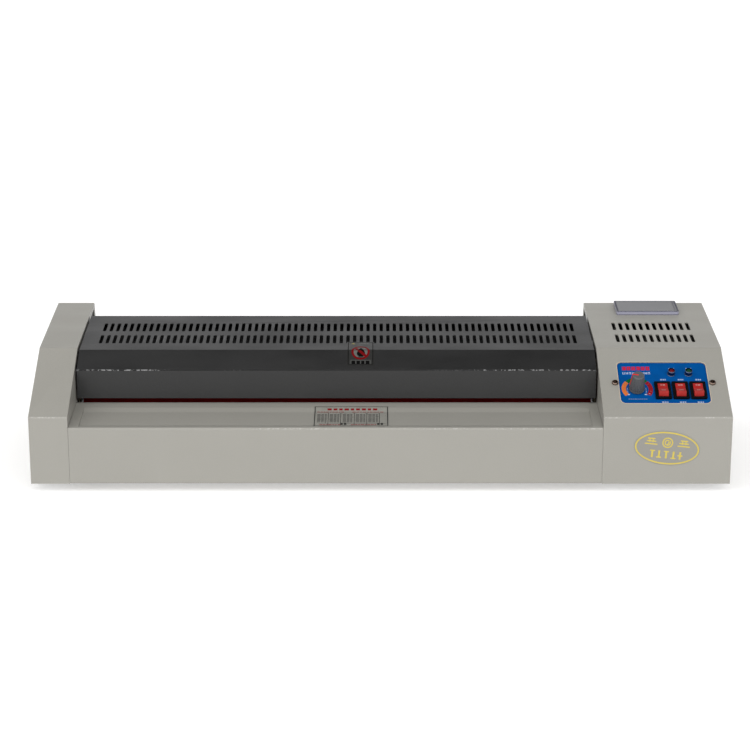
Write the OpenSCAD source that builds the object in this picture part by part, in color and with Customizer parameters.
// Pouch laminator with two hot rollers, two pull rollers and a side control panel.
// Frame: +X to the operator's right, +Y to the back, +Z up.
// The origin is at the middle of the footprint, on the surface the rubber feet stand on.
// Most parts are drawn in the machine frame: y runs back from the front face and
// z runs up from the underside of the casing; place() moves them to the origin above.

/* [Casing] */
// Width of the whole machine
body_w = 666; // [640:1:690]
// Depth of the casing at its underside
body_d = 239.7; // [236:0.1:244]
// Width of the narrow left end housing
left_w = 37; // [36:1:42]
// Width of the right end housing that holds the controls
right_w = 122; // [120:1:128]
// Height of the vertical front face of the end housings
front_h = 65.8; // [65:0.1:67]
// Thickness of the casing sheet
sheet = 1.2; // [1:0.1:1.3]
// Height of the rubber feet below the casing
foot_h = 8; // [6:0.5:12]
// Gap between neighbouring casing sheets
seam = 0.2; // [0.2:0.1:0.4]

/* [Vents] */
// Number of slots in each row of the top cover
cover_slots = 72; // [20:1:74]
// Distance between neighbouring cover slots
cover_pitch = 6.59; // [6:0.01:6.8]
// Number of slots in each row of the right housing
side_slots = 12; // [4:1:13]
// Distance between neighbouring housing slots
side_pitch = 6.74; // [6:0.01:7]
// Width of a slot
slot_w = 3.4; // [2:0.1:3.6]
// Length of a slot
slot_l = 21; // [14:0.1:22]

/* [Rollers] */
// Outer radius of the hot rollers
hot_r = 17.1; // [16.9:0.01:17.1]
// Outer radius of the pull rollers
pull_r = 14.1; // [13.9:0.01:14.1]
// Height of the pouch path above the underside of the casing
path_z = 66; // [65.8:0.1:66.2]
// Distance of the hot rollers from the front face
hot_y = 95; // [94:0.5:96]
// Distance of the pull rollers from the front face
pull_y = 150; // [149:0.5:151]
// Radial clearance of every turning shaft in its bore
fit = 0.05; // [0.02:0.01:0.09]

/* [Gears] */
// Teeth of the motor pinion
pinion_teeth = 15; // [15:1:17]
// Width of the gears
gear_w = 8; // [6:0.5:8]
// Play between the flanks of meshing teeth
backlash = 0.16; // [0.12:0.01:0.2]

/* [Controls] */
// Width of the window around the control plate
window_w = 86; // [80:0.5:88]
// Height of the window, measured up the slope
window_h = 54.8; // [50:0.1:56]
// Width of a switch bezel
bezel_w = 15.4; // [14.8:0.1:16.4]
// Length of a switch bezel, measured up the slope
bezel_l = 22; // [22:0.1:24]
// Angle that a rocker tips each way from its middle
rocker_tip = 12; // [8:0.5:13]
// Radius of the temperature knob at its foot
knob_r = 7.4; // [7:0.1:8.5]
// Height of the temperature knob
knob_h = 19.5; // [16:0.5:21]
// Angle of the knob pointer, from straight up the slope
pointer_angle = 80; // [0:1:130]

/* [Hidden] */
$fn = 48;
eps = 0.01;
badge_t = 0.3;
front_y = -(body_d + badge_t) / 2 + badge_t;

// Places across the machine
left_x = -body_w / 2;
right_x = body_w / 2;
bay_left = left_x + left_w;
bay_right = right_x - right_w;
bay_mid = (bay_left + bay_right) / 2;
bay_half = (bay_right - bay_left) / 2;
plate_t = 2;
plate_in = bay_half + 1.5;
plate_out = plate_in + plate_t;
roller_half = bay_half - 3.5;
foot_x = [-274.5, 274.5];
foot_y = [41, 210];

// Side plates, as (y, z): where the tie rods and the cover screws cross them
spring_top = 104;
rod_at = [[73, 20], [205, 20], [169.5, 92]];
cheek_screw_at = [[118, 109.1], [166, 116.3]];

// Side outline of the end housings: nose, ridge and rear corner
nose = [0, front_h];
brow = [80, 113.5];
ridge = [203.8, 130.4];
heel = [body_d, 0];
control_tilt = atan2(brow[1] - nose[1], brow[0] - nose[0]);
top_tilt = atan2(ridge[1] - brow[1], ridge[0] - brow[0]);
rear_lean = atan2(heel[0] - ridge[0], ridge[1] - heel[1]);

// Side outline of the top cover
cover_lip = [56, 68.9];
cover_brow = [56, 97.3];
cover_bend = [78, 111.8];
cover_ridge = [167, 125];
cover_tail = [208, 76];
cover_tilt = atan2(cover_ridge[1] - cover_bend[1], cover_ridge[0] - cover_bend[0]);
cover_half = bay_half - 1.9;

// Feed table
bed_front_z = 55.3;
bed_dip = 1.2;
bed_end = [61, 63.9];

// Drive train: the tooth counts set how far apart the rollers lie, so they are fixed
gear_module = 1.5;
hot_teeth = 23;
pull_teeth = 19;
hot_pitch_r = gear_module * hot_teeth / 2;
pull_pitch_r = gear_module * pull_teeth / 2;
pinion_pitch_r = gear_module * pinion_teeth / 2;
lower_hot = [hot_y, path_z - hot_pitch_r];
upper_hot = [hot_y, path_z + hot_pitch_r];
lower_pull = [pull_y, path_z - pull_pitch_r];
upper_pull = [pull_y, path_z + pull_pitch_r];
idler = third_corner(lower_hot, hot_pitch_r + pull_pitch_r, lower_pull, 2 * pull_pitch_r);
pinion_bearing = -15;
pinion_gap = pull_pitch_r + pinion_pitch_r;
pinion = lower_pull + pinion_gap * [cos(pinion_bearing), sin(pinion_bearing)];
gear_x = bay_right + 15;
lower_hot_phase = 0;
upper_hot_phase = mesh_phase(lower_hot, hot_teeth, lower_hot_phase, upper_hot, hot_teeth);
idler_phase = mesh_phase(lower_hot, hot_teeth, lower_hot_phase, idler, pull_teeth);
lower_pull_phase = mesh_phase(idler, pull_teeth, idler_phase, lower_pull, pull_teeth);
upper_pull_phase = mesh_phase(lower_pull, pull_teeth, lower_pull_phase, upper_pull, pull_teeth);
pinion_phase = mesh_phase(lower_pull, pull_teeth, lower_pull_phase, pinion, pinion_teeth);
hot_journal_r = 9;
hot_core_r = 14;
pull_journal_r = 5;
pull_core_r = 10.6;
motor_shaft_r = 3.5;
stud_r = 4;
hot_block = 24;
pull_block = 20;
motor_x = gear_x + gear_w + 6;
motor_ear_turns = [45, 225];

// Ends along x, measured from the middle of the roller bay
left_journal = 270;
right_journal = gear_x - bay_mid + gear_w + 3;
lamp_right = 291;
lamp_left = 285;

// Control panel places: x across, s up the slope from the nose
panel_x = 272;
panel_s = 45.8;
plate_drop = sheet;
knob_at = [245.6, 38.2];
rocker_at = [[270.4, 35.5], [287.3, 35.5], [304.2, 35.5]];
led_at = [[280.6, 58.2], [297.2, 58.2]];
screw_at = [[225.4, 45.1], [318.9, 45.1]];
rocker_r = 8.6;
rocker_w = 9.2;
pivot_drop = 1;
pin_r = 1;
shaft_r = 3;
rocker_dip = 4;
knob_gap = 0.8;
knob_top_r = knob_r - 1.8;

// Meter places: x across, s up the slope from the brow
meter_x = 272.8;
meter_s = 103.4;
meter_w = 63.2;
meter_l = 30;
meter_h = 4.2;
needle_pivot = [0, -9];
needle_l = 19;
needle_rest = 38;

// Electrics: places on the rear face, radius of the cord bore, corner of the board
gland_x = 258;
fuse_x = 304;
rear_fit_z = 26;
gland_r = 3.9;
board_at = [236, 14, 13];

// ---------- outline helpers ----------

function unit(v) = v / norm(v);

function left_of(v) = [-v[1], v[0]];

// Where the line through p along d meets the line through q along e
function line_meet(p, d, q, e) =
    let (cross = d[0] * e[1] - d[1] * e[0], w = q - p)
    abs(cross) < 1e-9 ? q : p + d * (w[0] * e[1] - w[1] * e[0]) / cross;

// A closed outline moved inwards by t; its corners run anticlockwise
function inset(points, t) =
    let (n = len(points))
    [for (i = [0:n - 1])
        let (a = points[(i + n - 1) % n], b = points[i], c = points[(i + 1) % n])
        line_meet(a + left_of(unit(b - a)) * t, b - a, b + left_of(unit(c - b)) * t, c - b)];

// An arc of radius r that rounds the corner b between a and c
function corner_arc(a, b, c, r, steps = 5) =
    let (
        u = unit(a - b),
        v = unit(c - b),
        half = acos(u * v) / 2,
        centre = b + unit(u + v) * r / sin(half),
        from = b + u * r / tan(half) - centre,
        to = b + v * r / tan(half) - centre,
        start = atan2(from[1], from[0]),
        sweep = (atan2(to[1], to[0]) - start + 540) % 360 - 180
    )
    [for (k = [0:steps]) centre + r * [cos(start + sweep * k / steps), sin(start + sweep * k / steps)]];

// A closed outline with every corner rounded
function rounded(points, r) =
    let (n = len(points))
    [for (i = [0:n - 1])
        each corner_arc(points[(i + n - 1) % n], points[i], points[(i + 1) % n], r)];

// An open path with its inner corners rounded
function bent(path, r) =
    let (n = len(path))
    [path[0], for (i = [1:n - 2]) each corner_arc(path[i - 1], path[i], path[i + 1], r), path[n - 1]];

// An open path moved to its right by t
function shifted(path, t) =
    let (n = len(path))
    [for (i = [0:n - 1])
        let (
            before = unit(i == 0 ? path[1] - path[0] : path[i] - path[i - 1]),
            after = unit(i == n - 1 ? path[i] - path[i - 1] : path[i + 1] - path[i])
        )
        line_meet(path[i] - left_of(before) * t, before, path[i] - left_of(after) * t, after)];

function reversed(path) = [for (i = [len(path) - 1:-1:0]) path[i]];

// The cut edge of a sheet of thickness t that lies to the right of its path
function strip(path, t) = concat(path, reversed(shifted(path, t)));

// The corner below a and b that is ra from a and rb from b
function third_corner(a, ra, b, rb) =
    let (
        d = norm(b - a),
        along = (ra * ra - rb * rb + d * d) / (2 * d),
        down = sqrt(ra * ra - along * along)
    )
    a + unit(b - a) * along - left_of(unit(b - a)) * down;

// ---------- gear helpers ----------

// Turn of gear b that sets its teeth in mesh with gear a
function mesh_phase(a, teeth_a, phase_a, b, teeth_b) =
    let (line = atan2(b[1] - a[1], b[0] - a[0]), offset = teeth_a * (line - phase_a) / 360)
    line + 180 - 360 / teeth_b * (0.5 - offset);

function involute(base, r) = sqrt(pow(r / base, 2) - 1) * 180 / PI - acos(base / r);

// Outline of a spur gear with one tooth centred on angle 0
function gear_outline(teeth, flank_steps = 5) =
    let (
        pitch_r = gear_module * teeth / 2,
        base = pitch_r * cos(20),
        root = pitch_r - 1.25 * gear_module,
        tip = pitch_r + gear_module,
        low = max(base + eps, root),
        thick = 90 / teeth - backlash / pitch_r * 45 / PI + involute(base, pitch_r),
        radii = [for (k = [0:flank_steps]) low + (tip - low) * k / flank_steps],
        flank = [for (r = radii) [r, thick - involute(base, r)]],
        half = concat([[root, thick - involute(base, low)]], flank)
    )
    [for (i = [0:teeth - 1], side = [-1, 1])
        each [for (p = side < 0 ? half : reversed(half))
            let (a = i * 360 / teeth + side * p[1]) p[0] * [cos(a), sin(a)]]];

// ---------- placing helpers ----------

module place() {
    translate([0, front_y, foot_h]) children();
}

// A side outline drawn as (y, z) and drawn out from x0 to x1
module across(x0, x1) {
    translate([x0, 0, 0]) rotate([90, 0, 90]) linear_extrude(x1 - x0) children();
}

// The same, centred on the middle of the roller bay
module across_bay(half) {
    across(bay_mid - half, bay_mid + half) children();
}

// Local x runs along +X from x0, on the line through (y, z)
module on_axis(at, x0 = 0) {
    translate([x0, at[0], at[1]]) rotate([90, 0, 90]) children();
}

// Both ends of the roller bay; local +x points outwards from the middle
module both_ends() {
    for (flip = [0, 1]) {
        translate([bay_mid, 0, 0]) mirror([flip, 0, 0]) children();
    }
}

// Local frame on the control slope: y up the slope, z out of it
module on_controls(at, h = 0) {
    place() translate([at[0], nose[0], nose[1]]) rotate([control_tilt, 0, 0])
        translate([0, at[1], h]) children();
}

// Local frame on the top of the end housings
module on_top(x, s, h = 0) {
    place() translate([x, brow[0], brow[1]]) rotate([top_tilt, 0, 0]) translate([0, s, h]) children();
}

// Local frame on the rear face, z out of it
module on_rear(x, z) {
    place() translate([x, heel[0] - z * tan(rear_lean), z]) rotate([rear_lean - 90, 0, 0]) children();
}

module box_from(low, high) {
    translate(low) cube(high - low);
}

module slot_shape(l, w) {
    square([w, l - w], center = true);
    for (end = [-1, 1]) {
        translate([0, end * (l - w) / 2]) circle(d = w, $fn = 16);
    }
}

module slot_row(count, pitch, l, w, depth) {
    linear_extrude(depth, center = true) {
        for (i = [0:count - 1]) {
            translate([(i - (count - 1) / 2) * pitch, 0]) slot_shape(l, w);
        }
    }
}

module rounded_plate(w, l, r, t) {
    linear_extrude(t) {
        square([w - 2 * r, l], center = true);
        square([w, l - 2 * r], center = true);
        for (sx = [-1, 1], sy = [-1, 1]) {
            translate([sx * (w / 2 - r), sy * (l / 2 - r)]) circle(r = r, $fn = 32);
        }
    }
}

// A pan head screw, its head above z = 0 and its shank below
module pan_screw(head_r, head_h, shank_r, shank_l) {
    difference() {
        union() {
            cylinder(h = head_h * 0.6, r = head_r);
            translate([0, 0, head_h * 0.6]) cylinder(h = head_h * 0.4, r1 = head_r, r2 = head_r * 0.72);
            translate([0, 0, -shank_l]) cylinder(h = shank_l + eps, r = shank_r);
        }
        for (turn = [0, 90]) {
            rotate(turn) translate([0, 0, head_h])
                cube([head_r * 1.3, head_r * 0.34, head_h * 1.3], center = true);
        }
    }
}

module hex_nut(across_flats, t, bore_r) {
    difference() {
        cylinder(h = t, r = across_flats / sqrt(3), $fn = 6);
        translate([0, 0, -1]) cylinder(h = t + 2, r = bore_r);
    }
}

// ---------- frame ----------

module bottom_pan() {
    lip = 12;
    color("silver") place() difference() {
        box_from([left_x + 1.6, 1.6, sheet], [right_x - 1.6, 233, sheet + lip]);
        box_from([left_x + 2.8, 2.8, 2 * sheet], [right_x - 2.8, 231.8, sheet + lip + 1]);
        for (x = [-220, -80, 60, 270]) {
            translate([x, 120, 2 * sheet]) slot_row(9, 9, 46, 4, 8);
        }
        for (x = foot_x, y = foot_y) {
            translate([x, y, 0]) cylinder(h = 4, r = 2.1);
        }
    }
}

// Steel plate that carries the roller ends, in the frame of both_ends()
module side_plate() {
    difference() {
        union() {
            across(plate_in, plate_out) polygon([
                [64, 2 * sheet], [226, 2 * sheet], [214, 75], [196, 126], [84, 110.5], [64, 94]
            ]);
            box_from([plate_in, 66, 2 * sheet], [plate_out + 10, 224, 2 * sheet + plate_t]);
            for (y = [hot_y, pull_y]) {
                box_from([plate_in, y - 7, spring_top], [plate_out + 9, y + 7, spring_top + 1.6]);
            }
        }
        on_axis(lower_hot, plate_in - 1) cylinder(h = 4, r = 12);
        on_axis(lower_pull, plate_in - 1) cylinder(h = 4, r = 8);
        block_slot(upper_hot, hot_block);
        block_slot(upper_pull, pull_block);
        for (at = rod_at) {
            on_axis(at, plate_in - 1) cylinder(h = 4, r = 3.1);
        }
        for (at = cheek_screw_at) {
            on_axis(at, plate_in - 1) cylinder(h = 4, r = 2.1);
        }
    }
}

// Slot that a sliding block of width w moves in
module block_slot(at, w) {
    half = w / 2 + 0.2;
    box_from([plate_in - 1, at[0] - half, at[1] - half - 1.8], [plate_out + 1, at[0] + half, spring_top]);
}

module left_side_plate() {
    color("gainsboro") place() translate([bay_mid, 0, 0]) mirror([1, 0, 0]) side_plate();
}

module right_side_plate() {
    color("gainsboro") place() difference() {
        translate([bay_mid, 0, 0]) side_plate();
        on_axis(idler, bay_mid + plate_in - 1) cylinder(h = 4, r = stud_r);
    }
}

module tie_rods() {
    color("silver") place() for (at = rod_at) {
        on_axis(at, bay_mid - plate_in) cylinder(h = 2 * plate_in, r = 5);
        both_ends() on_axis(at, plate_in - eps) cylinder(h = 9, r = 3);
    }
}

module frame_fasteners() {
    cheek_nut_x = cover_half - sheet - 2;
    color("silver") place() both_ends() {
        for (at = rod_at) {
            on_axis(at, plate_out) hex_nut(10, 5, 3);
        }
        for (at = cheek_screw_at) {
            on_axis(at, plate_out) pan_screw(3.4, 2.2, 2, plate_out - cheek_nut_x + 0.4);
            on_axis(at, cheek_nut_x) hex_nut(7, 2, 2);
        }
    }
    color("silver") place() for (turn = motor_ear_turns) {
        on_axis(pinion, motor_x + 3) rotate(turn) translate([35, 0, 0]) pan_screw(3.6, 2.4, 2.1, 6);
    }
}

// ---------- casing ----------

function housing_outline() = [[0, -3], [heel[0] + 3 * tan(rear_lean), -3], ridge, brow, nose];

// A bent sheet housing between x0 and x1, open below; wall_in is the x of its inner wall
module housing(x0, x1, wall_in) {
    outline = housing_outline();
    window = [[66, -1], [226, -1], [212, 76], [199, 124.5], [86, 109], [66, 97]];
    difference() {
        across(x0, x1) polygon(rounded(outline, 2));
        across(x0 + sheet, x1 - sheet) polygon(rounded(inset(outline, sheet), 0.8));
        across(wall_in - eps, wall_in + sheet + eps) {
            polygon(window);
            translate([1.3, -1]) square([232, 3.8]);
            translate([1.3, -1]) square([1.8, 14.5]);
            translate([231.5, -1]) square([1.8, 14.5]);
        }
        box_from([x0 - 1, -1, -20], [x1 + 1, body_d + 5, 0]);
    }
}

module left_housing() {
    color([0.67, 0.66, 0.62]) place() housing(left_x, bay_left, bay_left - sheet);
}

module right_housing() {
    color([0.67, 0.66, 0.62]) difference() {
        place() housing(bay_right, right_x, bay_right);
        on_controls([panel_x, panel_s], -5) rounded_plate(window_w, window_h, 5, 8);
        for (at = screw_at) {
            on_controls(at, -5) cylinder(h = 8, r = 2.1);
        }
        for (s = [25.2, 57.3]) {
            on_top(271.7, s) slot_row(side_slots, side_pitch, slot_l, slot_w + 0.2, 8);
        }
        on_top(meter_x, meter_s) cube([meter_w - 4, meter_l - 4, 8], center = true);
        on_rear(gland_x, rear_fit_z) translate([0, 0, -5]) cylinder(h = 8, r = 7);
        on_rear(fuse_x, rear_fit_z) translate([0, 0, -5]) cylinder(h = 8, r = 6.5);
    }
}

module top_cover() {
    path = bent([cover_lip, cover_brow, cover_bend, cover_ridge, cover_tail], 1.6);
    solid = [cover_tail, cover_ridge, cover_bend, cover_brow, cover_lip];
    color([0.22, 0.22, 0.22]) place() difference() {
        union() {
            across_bay(cover_half) polygon(strip(path, sheet));
            both_ends() across(cover_half - sheet, cover_half) difference() {
                polygon(rounded(inset(solid, 0.4), 1.6));
                polygon(concat(inset(solid, 14), [[80, 60], [190, 60]]));
                translate([0, -1]) square([300, 80]);
            }
        }
        for (s = [27, 58.3]) {
            translate([bay_mid + 0.7, cover_bend[0], cover_bend[1]]) rotate([cover_tilt, 0, 0])
                translate([0, s, 0]) slot_row(cover_slots, cover_pitch, slot_l, slot_w, 8);
        }
        both_ends() for (at = cheek_screw_at) {
            on_axis(at, cover_half - 3) cylinder(h = 6, r = 2.1);
        }
    }
}

// Side path of the feed table: a flange below, the front apron, the ramp and a rear lip
function bed_path(dip) =
    let (rise = (bed_end[1] - bed_front_z) / bed_end[0])
    concat(
        bent([[16, 0], [0, 0], [0, bed_front_z], [3, bed_front_z + 3 * rise]], 1.6),
        [for (p = [[9, dip], [39, dip], [47, 0]]) [p[0], bed_front_z + p[0] * rise - p[1]]],
        [bed_end + [-1.4, -0.25], bed_end + [-0.4, -0.7], bed_end + [0, -1.6], bed_end + [0, -6]]
    );

module feed_table() {
    half = bay_half - seam;
    margin = 9.3;
    color([0.67, 0.66, 0.62]) place() {
        both_ends() across(half - margin, half) polygon(strip(bed_path(0), sheet));
        across_bay(half - margin + eps) polygon(strip(bed_path(bed_dip), sheet));
    }
}

module exit_panel() {
    top_z = 60;
    edge = [heel[0] - top_z * tan(rear_lean), top_z];
    toe = heel - [sheet * 0.1, 0];
    path = bent([[170, 57], [172, 62.5], edge, toe, [225, 0]], 1.6);
    color([0.67, 0.66, 0.62]) place() across_bay(bay_half - seam) polygon(strip(path, sheet));
}

module heat_shield() {
    path = bent([[69, 73], [69, 92], [83, 107], [172, 115], [184, 92], [184, 78]], 2);
    color([0.1, 0.1, 0.1]) place() across_bay(cover_half - 4) polygon(strip(path, 0.8));
}

module guide_plates() {
    lower = [[109.5, 61.6], [111, 63.4], [137, 63.4], [138.2, 62]];
    upper = [[138.2, 70], [137, 68.6], [111, 68.6], [109.5, 70.4]];
    color("gainsboro") place() across_bay(plate_in - eps) {
        polygon(strip(lower, 1));
        polygon(strip(upper, 1));
    }
}

module rubber_feet() {
    color([0.08, 0.08, 0.08]) for (x = foot_x, y = foot_y) {
        translate([x, front_y + y, 0]) rotate_extrude() polygon([
            [2.1, 3.5], [5, 3.5], [5, 0], [8.2, 0], [8.8, 0.6], [10, foot_h + sheet - 1],
            [10, foot_h + sheet], [2.1, foot_h + sheet]
        ]);
    }
}

module foot_screws() {
    color("silver") for (x = foot_x, y = foot_y) {
        translate([x, front_y + y, 3.5]) mirror([0, 0, 1]) pan_screw(4, 2.4, 2, 9.4);
        translate([x, front_y + y, foot_h + 2 * sheet]) hex_nut(7, 2.6, 2);
    }
}

// ---------- rollers ----------

module hot_core(at) {
    bore = 6.5;
    hollow = 10;
    end = roller_half + 1.5;
    color("lightsteelblue") place() on_axis(at, bay_mid) rotate_extrude() polygon([
        [bore, -left_journal], [hot_journal_r, -left_journal], [hot_journal_r, -end],
        [hot_core_r, -end], [hot_core_r, end], [hot_journal_r, end],
        [hot_journal_r, right_journal], [bore, right_journal], [bore, end - 6],
        [hollow, end - 10], [hollow, 10 - end], [bore, 6 - end]
    ]);
}

module hot_sleeve(at) {
    color([0.6, 0.07, 0.05]) place() on_axis(at, bay_mid - roller_half) difference() {
        cylinder(h = 2 * roller_half, r = hot_r, $fn = 96);
        translate([0, 0, -1]) cylinder(h = 2 * roller_half + 2, r = hot_core_r);
    }
}

module pull_core(at) {
    end = roller_half + 1.5;
    color("lightsteelblue") place() on_axis(at, bay_mid) rotate_extrude() polygon([
        [0, -left_journal + 5], [pull_journal_r, -left_journal + 5], [pull_journal_r, -end],
        [pull_core_r, -end], [pull_core_r, end], [pull_journal_r, end],
        [pull_journal_r, right_journal], [0, right_journal]
    ]);
}

module pull_sleeve(at) {
    color([0.6, 0.07, 0.05]) place() on_axis(at, bay_mid - roller_half) difference() {
        cylinder(h = 2 * roller_half, r = pull_r, $fn = 96);
        translate([0, 0, -1]) cylinder(h = 2 * roller_half + 2, r = pull_core_r);
    }
}

module spur_gear(at, teeth, phase, bore_r, hub_r) {
    place() on_axis(at, gear_x) difference() {
        union() {
            rotate(phase) linear_extrude(gear_w) polygon(gear_outline(teeth));
            cylinder(h = gear_w + 1.5, r = hub_r);
        }
        translate([0, 0, -1]) cylinder(h = gear_w + 4, r = bore_r);
    }
}

module lower_hot_core() {
    hot_core(lower_hot);
}

module upper_hot_core() {
    hot_core(upper_hot);
}

module lower_hot_sleeve() {
    hot_sleeve(lower_hot);
}

module upper_hot_sleeve() {
    hot_sleeve(upper_hot);
}

module lower_hot_gear() {
    color("tan") spur_gear(lower_hot, hot_teeth, lower_hot_phase, hot_journal_r, 12.5);
}

module upper_hot_gear() {
    color("tan") spur_gear(upper_hot, hot_teeth, upper_hot_phase, hot_journal_r, 12.5);
}

module lower_pull_core() {
    pull_core(lower_pull);
}

module upper_pull_core() {
    pull_core(upper_pull);
}

module lower_pull_sleeve() {
    pull_sleeve(lower_pull);
}

module upper_pull_sleeve() {
    pull_sleeve(upper_pull);
}

module lower_pull_gear() {
    color("tan") spur_gear(lower_pull, pull_teeth, lower_pull_phase, pull_journal_r, 9);
}

module upper_pull_gear() {
    color("tan") spur_gear(upper_pull, pull_teeth, upper_pull_phase, pull_journal_r, 9);
}

// Flanged bush of a lower roller, in the frame of both_ends()
module bush(at, bore_r, outer_r) {
    on_axis(at, plate_in - 1.2) difference() {
        union() {
            cylinder(h = 1.2, r = outer_r + 2);
            cylinder(h = 8, r = outer_r);
        }
        translate([0, 0, -1]) cylinder(h = 12, r = bore_r);
    }
}

module roller_bushes() {
    color("darkkhaki") place() both_ends() {
        bush(lower_hot, hot_journal_r + fit, 12);
        bush(lower_pull, pull_journal_r + fit, 8);
    }
}

// A box from x0 to x1 over the square block of width w, wider by flange at its front and back
module on_block(at, w, x0, x1, flange) {
    box_from([x0, at[0] - w / 2 - flange, at[1] - w / 2], [x1, at[0] + w / 2 + flange, at[1] + w / 2]);
}

// Sliding block of an upper roller, in the frame of both_ends()
module block(at, w, bore_r) {
    difference() {
        union() {
            on_block(at, w, plate_in - 1.2, plate_out + 7.5, 0);
            on_block(at, w, plate_out, plate_out + 2, 2.5);
        }
        on_axis(at, plate_in - 3) cylinder(h = 16, r = bore_r);
    }
}

module bearing_blocks() {
    color("darkkhaki") place() both_ends() {
        block(upper_hot, hot_block, hot_journal_r + fit);
        block(upper_pull, pull_block, pull_journal_r + fit);
    }
}

// A coil spring standing on z = 0
module coil_spring(coil_r, wire_r, height, turns) {
    sides = 6;
    steps = 16 * turns;
    rings = [for (i = [0:steps])
        let (a = i * 360 / 16, z = wire_r + (height - 2 * wire_r) * i / steps)
        for (k = [0:sides - 1])
            let (b = k * 360 / sides, r = coil_r + wire_r * cos(b))
            [r * cos(a), r * sin(a), z + wire_r * sin(b)]];
    walls = [for (i = [0:steps - 1], k = [0:sides - 1])
        [i * sides + k, i * sides + (k + 1) % sides, (i + 1) * sides + (k + 1) % sides, (i + 1) * sides + k]];
    first = [for (k = [sides - 1:-1:0]) k];
    last = [for (k = [0:sides - 1]) steps * sides + k];
    polyhedron(rings, concat([first], walls, [last]));
}

module pressure_springs() {
    color("silver") place() both_ends() {
        translate([plate_out + 4, upper_hot[0], upper_hot[1] + hot_block / 2])
            coil_spring(3, 0.55, spring_top - upper_hot[1] - hot_block / 2, 4);
        translate([plate_out + 4, upper_pull[0], upper_pull[1] + pull_block / 2])
            coil_spring(3, 0.55, spring_top - upper_pull[1] - pull_block / 2, 5);
    }
}

module heater_lamps() {
    color([0.9, 0.85, 0.8]) place() for (at = [lower_hot, upper_hot]) {
        on_axis(at, bay_mid) rotate_extrude() polygon([
            [0, -lamp_left], [3, -lamp_left], [3, 14 - lamp_left], [4, 16 - lamp_left],
            [4, lamp_right - 16], [3, lamp_right - 14], [3, lamp_right], [0, lamp_right]
        ]);
    }
}

module lamp_brackets() {
    color("gainsboro") place() translate([bay_mid, 0, 0]) {
        lamp_bracket(lamp_right - 7);
        mirror([1, 0, 0]) lamp_bracket(lamp_left - 7);
    }
}

// A post that holds both lamps at post_x
module lamp_bracket(post_x) {
    difference() {
        union() {
            box_from([post_x, hot_y - 8, 2 * sheet], [post_x + 1.5, hot_y + 8, 94]);
            box_from([post_x - 9, hot_y - 8, 2 * sheet], [post_x + 1.5, hot_y + 8, 2 * sheet + 1.5]);
            for (at = [lower_hot, upper_hot]) {
                on_axis(at, post_x - 2.5) cylinder(h = 7, r = 6);
            }
        }
        for (at = [lower_hot, upper_hot]) {
            on_axis(at, post_x - 4) cylinder(h = 12, r = 3);
        }
    }
}

// ---------- drive ----------

module gear_motor() {
    color("silver") place() on_axis(pinion, motor_x) difference() {
        union() {
            cylinder(h = 14, r = 30);
            translate([0, 0, 14]) cylinder(h = 38, r = 27);
            translate([0, 0, -4]) cylinder(h = 4.5, r = 8);
            for (turn = motor_ear_turns) {
                rotate(turn) translate([34, 0, 0]) cylinder(h = 3, r = 6);
            }
            translate([-10, 20, 52 - eps]) cube([20, 6, 6]);
        }
        translate([0, 0, -5]) cylinder(h = 16, r = motor_shaft_r + fit);
        for (turn = motor_ear_turns) {
            rotate(turn) translate([35, 0, -1]) cylinder(h = 6, r = 2.2);
        }
    }
}

module motor_bracket() {
    x0 = motor_x - 2;
    color("gainsboro") place() difference() {
        union() {
            box_from([x0, pinion[0] - 36, 2 * sheet], [motor_x, pinion[0] + 36, pinion[1] + 34]);
            box_from([x0, pinion[0] - 36, 2 * sheet], [motor_x + 14, pinion[0] + 36, 2 * sheet + 2]);
        }
        on_axis(pinion, x0 - 1) cylinder(h = 6, r = 8);
        for (turn = motor_ear_turns) {
            on_axis(pinion, x0 - 1) rotate(turn) translate([35, 0, 0]) cylinder(h = 6, r = 2.2);
        }
    }
}

module motor_pinion() {
    color("silver") {
        spur_gear(pinion, pinion_teeth, pinion_phase, motor_shaft_r, 7);
        place() on_axis(pinion, gear_x - 1) cylinder(h = motor_x - gear_x + 10, r = motor_shaft_r);
    }
}

module idler_gear() {
    color("tan") spur_gear(idler, pull_teeth, idler_phase, stud_r + fit, 8);
}

module idler_stud() {
    color("silver") place() on_axis(idler, bay_mid + plate_in) {
        cylinder(h = plate_t + gear_x - bay_mid - plate_out + gear_w + 3.5, r = stud_r);
        translate([0, 0, plate_t]) cylinder(h = gear_x - bay_mid - plate_out - 0.5, r = 6.5);
        translate([0, 0, gear_x - bay_mid - plate_in + gear_w + 2]) cylinder(h = 1.2, r = 6);
    }
}

// ---------- controls ----------

module control_plate() {
    color([0, 0.33, 0.65]) difference() {
        on_controls([panel_x, panel_s], -plate_drop - 1) rounded_plate(104, 64, 3, 1);
        for (at = rocker_at) {
            on_controls(at, -5) cube([bezel_w - 1.4, bezel_l - 1, 12], center = true);
        }
        for (at = led_at) {
            on_controls(at, -5) cylinder(h = 8, r = 3.1);
        }
        for (at = screw_at) {
            on_controls(at, -5) cylinder(h = 8, r = 2.1);
        }
        on_controls(knob_at, -5) cylinder(h = 8, r = 4);
    }
}

module panel_screws() {
    color("silver") for (at = screw_at) {
        on_controls(at) pan_screw(3.2, 2.2, 2, 9);
    }
}

// The knob and its shaft turn about this frame's z; z = 0 is the plate's face
module on_knob() {
    on_controls(knob_at, -plate_drop) children();
}

// The flat blade that both forms the pointer and cuts its groove
module pointer_blade() {
    rotate(90 + pointer_angle) rotate([90, 0, 0]) linear_extrude(1.1, center = true) polygon([
        [0, knob_h - 0.5], [knob_top_r - 0.5, knob_h - 0.5], [knob_r - 0.75, 5],
        [knob_r + 0.05, 5], [knob_top_r + 0.25, knob_h + 0.1], [0, knob_h + 0.1]
    ]);
}

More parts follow.
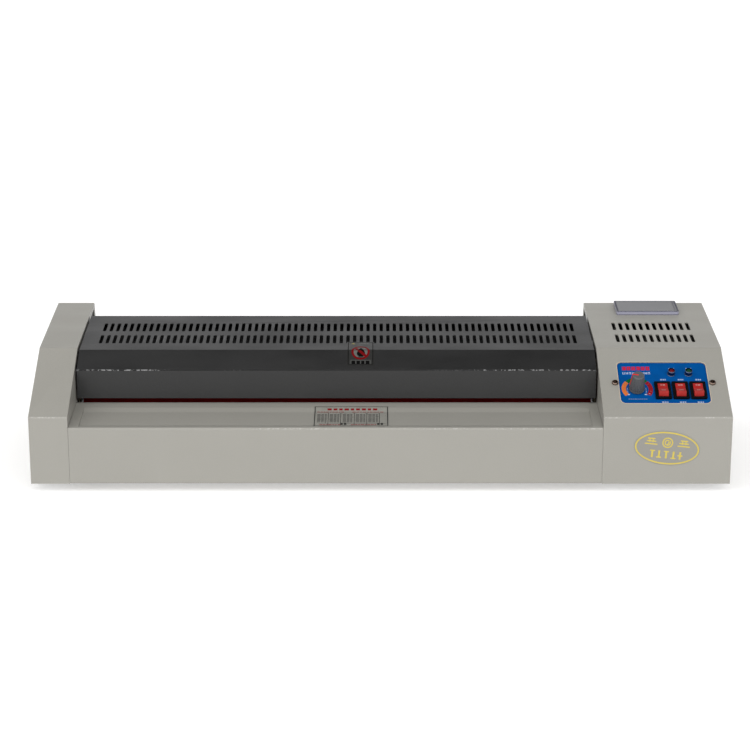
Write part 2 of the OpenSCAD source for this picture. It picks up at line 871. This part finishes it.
module temperature_knob() {
    flutes = 20;
    taper = atan2(knob_r - knob_top_r, knob_h);
    color([0.45, 0.45, 0.45]) on_knob() difference() {
        rotate_extrude($fn = 96) polygon([
            [0, knob_gap], [knob_r + 0.2, knob_gap], [knob_r + 0.2, 2.4], [knob_r, 2.8],
            [knob_top_r, knob_h - 0.8], [knob_top_r - 0.8, knob_h], [0, knob_h]
        ]);
        for (i = [0:flutes - 1]) {
            rotate(90 + pointer_angle + (i + 0.5) * 360 / flutes) translate([knob_r + 0.3, 0, 3])
                rotate([0, -taper, 0]) cylinder(h = knob_h, r = 0.85, $fn = 16);
        }
        translate([0, 0, -1]) cylinder(h = 13, r = shaft_r);
        pointer_blade();
        cylinder(h = 3.2, r = 5.2);
    }
}

module knob_pointer() {
    color([0.8, 0.1, 0.1]) on_knob() pointer_blade();
}

module pot_shaft() {
    color("silver") on_knob() translate([0, 0, -12]) cylinder(h = 24, r = shaft_r);
}

module potentiometer() {
    color("silver") on_knob() difference() {
        union() {
            translate([0, 0, -15]) cylinder(h = 9, r = 8.5);
            translate([0, 0, -6 - eps]) cylinder(h = 8, r = 4);
            hex_nut_ring();
            translate([-6, -14, -12]) cube([12, 8, 1.6]);
            translate([0, 0, -6]) cylinder(h = 5, r = 6);
        }
        translate([0, 0, -13]) cylinder(h = 20, r = shaft_r + fit);
    }
}

module hex_nut_ring() {
    difference() {
        cylinder(h = 1.8, r = 4.9, $fn = 6);
        translate([0, 0, -1]) cylinder(h = 4, r = 3.9);
    }
}

module switch_bodies() {
    cavity_l = 2 * rocker_r + 0.5;
    cavity_w = rocker_w + 0.6;
    box_w = bezel_w - 1.6;
    box_l = bezel_l - 1.2;
    color([0.06, 0.06, 0.06]) for (at = rocker_at) {
        on_controls(at, -plate_drop) difference() {
            union() {
                rounded_plate(bezel_w, bezel_l, 1, 2.2);
                translate([-box_w / 2, -box_l / 2, -16]) cube([box_w, box_l, 16 + eps]);
                for (s = [-7, 0, 7]) {
                    translate([-2.4, s - 0.4, -24]) cube([4.8, 0.8, 8 + eps]);
                }
            }
            translate([-cavity_w / 2, -cavity_l / 2, -13]) cube([cavity_w, cavity_l, 20]);
            translate([0, 0, -pivot_drop]) rotate([0, 90, 0])
                cylinder(h = cavity_w + 3, r = pin_r + fit, center = true);
        }
    }
}

// A rocker tipped so that its upper end is pressed in
module rocker(at) {
    color([0.78, 0.1, 0.09]) on_controls(at, -plate_drop - pivot_drop) rotate([-rocker_tip, 0, 0]) {
        rotate([90, 0, 90]) linear_extrude(rocker_w, center = true) intersection() {
            circle(r = rocker_r, $fn = 96);
            polygon([[-12, -4], [12, -4], [12, rocker_dip + 12 * tan(rocker_tip)], [0, rocker_dip],
                [-12, rocker_dip + 12 * tan(rocker_tip)]]);
        }
        rotate([0, 90, 0]) cylinder(h = rocker_w + 2.8, r = pin_r, center = true);
    }
}

module left_rocker() {
    rocker(rocker_at[0]);
}

module middle_rocker() {
    rocker(rocker_at[1]);
}

module right_rocker() {
    rocker(rocker_at[2]);
}

module led_bezels() {
    color("silver") for (at = led_at) {
        on_controls(at, -plate_drop) difference() {
            union() {
                rotate_extrude() polygon([
                    [0, 0], [3.8, 0], [3.8, 0.5], [3.5, 0.8], [3.5, 5], [3.1, 5.4], [0, 5.4]
                ]);
                translate([0, 0, -8]) cylinder(h = 8 + eps, r = 3.1);
            }
            translate([0, 0, -10]) cylinder(h = 20, r = 2.6);
        }
    }
}

module led(at) {
    on_controls(at, -plate_drop) {
        translate([0, 0, -6]) cylinder(h = 10.4, r = 2.55);
        intersection() {
            translate([0, 0, 1.6]) sphere(r = 3.8);
            translate([0, 0, 4.4 - eps]) cylinder(h = 2, r = 2.5);
        }
    }
}

module red_led() {
    color([0.8, 0.1, 0.1]) led(led_at[0]);
}

module green_led() {
    color([0.1, 0.5, 0.2]) led(led_at[1]);
}

// ---------- meter ----------

module meter_case() {
    color([0.12, 0.12, 0.13]) on_top(meter_x, meter_s) difference() {
        union() {
            translate([0, 0, -10]) cube([meter_w - 4.4, meter_l - 4.4, 20], center = true);
            translate([0, 0, 0.4]) cube([meter_w - 2.6, meter_l - 2.6, 0.8], center = true);
        }
        cube([meter_w - 8, meter_l - 8, 12], center = true);
    }
}

module meter_dial() {
    color([0.9, 0.9, 0.88]) on_top(meter_x, meter_s) difference() {
        translate([0, 0, -0.2]) cube([meter_w - 8.2, meter_l - 8.2, 0.6], center = true);
        translate([needle_pivot[0], needle_pivot[1], -3]) cylinder(h = 6, r = 1.2);
    }
}

module meter_needle() {
    color([0.7, 0.08, 0.08]) on_top(meter_x, meter_s) translate([needle_pivot[0], needle_pivot[1], 0]) {
        translate([0, 0, 0.4]) cylinder(h = 1.4, r = 1.8);
        translate([0, 0, -4]) cylinder(h = 5, r = 0.8);
        rotate(needle_rest) translate([0, 0, 1]) linear_extrude(0.5) polygon([
            [-0.7, -4], [0.7, -4], [0.15, needle_l], [-0.15, needle_l]
        ]);
    }
}

module meter_lens() {
    color([0.75, 0.75, 0.8, 0.5]) on_top(meter_x, meter_s) difference() {
        rounded_plate(meter_w, meter_l, 1.2, meter_h);
        translate([0, 0, -eps]) rounded_plate(meter_w - 2.4, meter_l - 2.4, 0.8, meter_h - 1.2);
    }
}

// ---------- electrics ----------

module control_board() {
    color([0.1, 0.35, 0.2]) place() translate(board_at) {
        cube([88, 66, 1.6]);
        for (x = [4, 84], y = [4, 62]) {
            translate([x, y, 2 * sheet - board_at[2]]) cylinder(h = board_at[2] - 2 * sheet + eps, r = 3);
        }
        translate([8, 12, 1.6 - eps]) cube([34, 28, 26]);
        translate([50, 10, 1.6 - eps]) cube([20, 16, 14]);
        translate([50, 34, 1.6 - eps]) cube([20, 16, 14]);
        for (at = [[78, 14], [78, 30]]) {
            translate([at[0], at[1], 1.6 - eps]) cylinder(h = 20, r = 5);
        }
        for (i = [0:5]) {
            translate([12 + i * 10.5, 56, 1.6 - eps]) cube([9, 8, 11]);
        }
    }
}

module thermostat() {
    z_top = lower_hot[1] - hot_r - 1.6;
    color("silver") place() translate([bay_mid, hot_y, 0]) {
        translate([0, 0, z_top - 8]) cylinder(h = 8, r = 8);
        box_from([-14, -6, z_top - 9.2], [14, 6, z_top - 8 + eps]);
        box_from([-14, -6, 2 * sheet], [-12.8, 6, z_top - 8]);
        box_from([12.8, -6, 2 * sheet], [14, 6, z_top - 8]);
    }
}

module fuse_holder() {
    color([0.07, 0.07, 0.07]) on_rear(fuse_x, rear_fit_z) difference() {
        union() {
            translate([0, 0, -20]) cylinder(h = 20 + eps, r = 6.5);
            cylinder(h = 1.6, r = 8.5);
            translate([0, 0, 1.6 - eps]) cylinder(h = 3, r = 6);
        }
        translate([0, 0, 4.2]) cube([8, 1.2, 2], center = true);
    }
}

module cord_gland() {
    color([0.07, 0.07, 0.07]) on_rear(gland_x, rear_fit_z) difference() {
        union() {
            translate([0, 0, -8]) cylinder(h = 8 + eps, r = 7);
            rotate_extrude() polygon([[0, 0], [9, 0], [9, 1.4], [7.4, 3.6], [0, 3.6]]);
        }
        translate([0, 0, -12]) cylinder(h = 20, r = gland_r);
    }
}

// ---------- badge and labels ----------

module badge() {
    half_w = 31.4;
    half_h = 16.8;
    color([0.88, 0.8, 0.35]) place() translate([271.7, 0, 35.5]) rotate([90, 5.5, 0])
        linear_extrude(badge_t) polygon([for (i = [0:95]) [half_w * cos(i * 3.75), half_h * sin(i * 3.75)]]);
}

module instruction_label() {
    rise = (bed_end[1] - bed_front_z) / bed_end[0];
    dips = [[4.4, 0.2], [9, bed_dip], [39, bed_dip], [46.9, 0.02], [49.8, 0.02]];
    path = [for (p = dips) [p[0], bed_front_z + p[0] * rise - p[1] + 0.2]];
    color([0.75, 0.75, 0.75]) place() across(-64, 7.9) polygon(strip(path, 0.15));
}

module warning_label() {
    foot = cover_brow + unit(cover_bend - cover_brow) * 5.8;
    head = cover_bend + unit(cover_ridge - cover_bend) * 19.3;
    path = shifted(bent([foot, cover_bend, head], 2), -0.2);
    color([0.8, 0.78, 0.75]) place() across(-32.6, -6.0) polygon(strip(path, 0.18));
}

bottom_pan();
left_side_plate();
right_side_plate();
tie_rods();
frame_fasteners();
left_housing();
right_housing();
top_cover();
feed_table();
exit_panel();
heat_shield();
guide_plates();
rubber_feet();
foot_screws();
lower_hot_core();
lower_hot_sleeve();
lower_hot_gear();
upper_hot_core();
upper_hot_sleeve();
upper_hot_gear();
lower_pull_core();
lower_pull_sleeve();
lower_pull_gear();
upper_pull_core();
upper_pull_sleeve();
upper_pull_gear();
roller_bushes();
bearing_blocks();
pressure_springs();
heater_lamps();
lamp_brackets();
gear_motor();
motor_bracket();
motor_pinion();
idler_gear();
idler_stud();
control_plate();
panel_screws();
temperature_knob();
knob_pointer();
pot_shaft();
potentiometer();
switch_bodies();
left_rocker();
middle_rocker();
right_rocker();
led_bezels();
red_led();
green_led();
meter_case();
meter_dial();
meter_needle();
meter_lens();
control_board();
thermostat();
fuse_holder();
cord_gland();
badge();
instruction_label();
warning_label();
